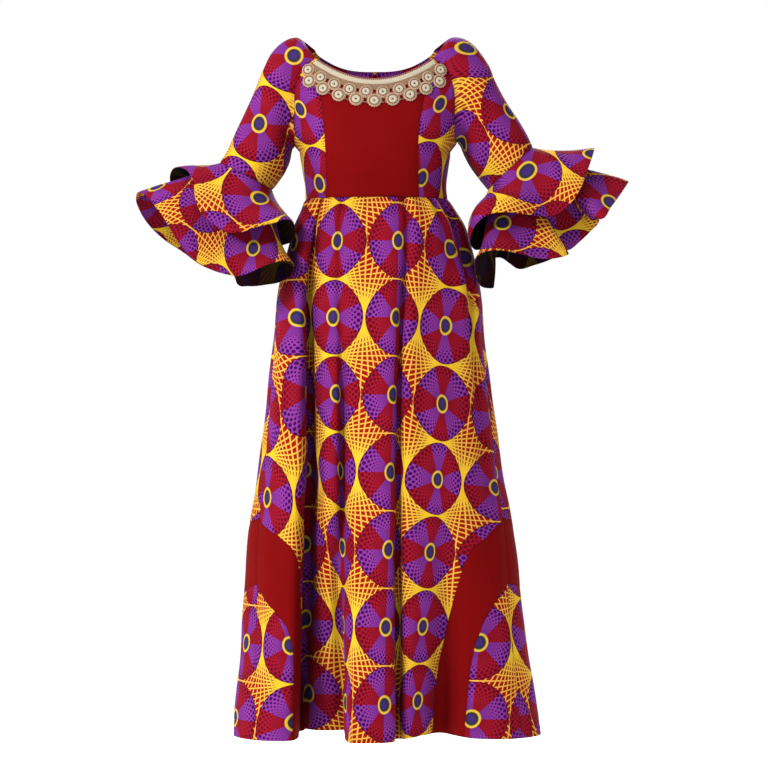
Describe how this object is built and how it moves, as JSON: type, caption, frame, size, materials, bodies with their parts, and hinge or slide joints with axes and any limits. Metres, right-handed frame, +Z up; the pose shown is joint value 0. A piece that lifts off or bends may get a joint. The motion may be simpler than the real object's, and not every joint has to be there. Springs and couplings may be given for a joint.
{
  "type": "wax print maxi dress",
  "caption": "Floor-length printed dress with a fitted bodice, scalloped lace at a wide neck, raglan sleeves with double flounces, a gathered skirt and plain curved bands near the hem.",
  "frame": {"origin": "the middle of the shoulder line, level with the top of the shoulders, where the wearer holds the dress up", "axes": "+Z up; the front faces -Y; +X is to the viewer's right, on the wearer's left side"},
  "size_m": [0.987, 0.3697, 1.3951],
  "materials": {
    "wax_print": "cotton wax print with round wheels in red and purple and yellow nets between them, slight sheen",
    "plain_red": "plain dark red woven cotton, matt",
    "crochet_lace": "cream and tan crochet lace, matt"
  },
  "bodies": {
    "root": {"bodice_side_left": "wax_print", "bodice_side_right": "wax_print", "bodice_back_left": "wax_print", "bodice_back_right": "wax_print", "sleeve_left": "wax_print", "sleeve_right": "wax_print", "flounce_upper_left": "wax_print", "flounce_upper_right": "wax_print", "flounce_lower_left": "wax_print", "flounce_lower_right": "wax_print", "skirt_front": "wax_print", "skirt_back": "wax_print", "corner_front_left": "wax_print", "corner_front_right": "wax_print", "corner_back_left": "wax_print", "corner_back_right": "wax_print", "bodice_front_centre": "plain_red", "band_front_left": "plain_red", "band_front_right": "plain_red", "band_back_left": "plain_red", "band_back_right": "plain_red", "neck_lace": "crochet_lace"}
  },
  "joints": []
}
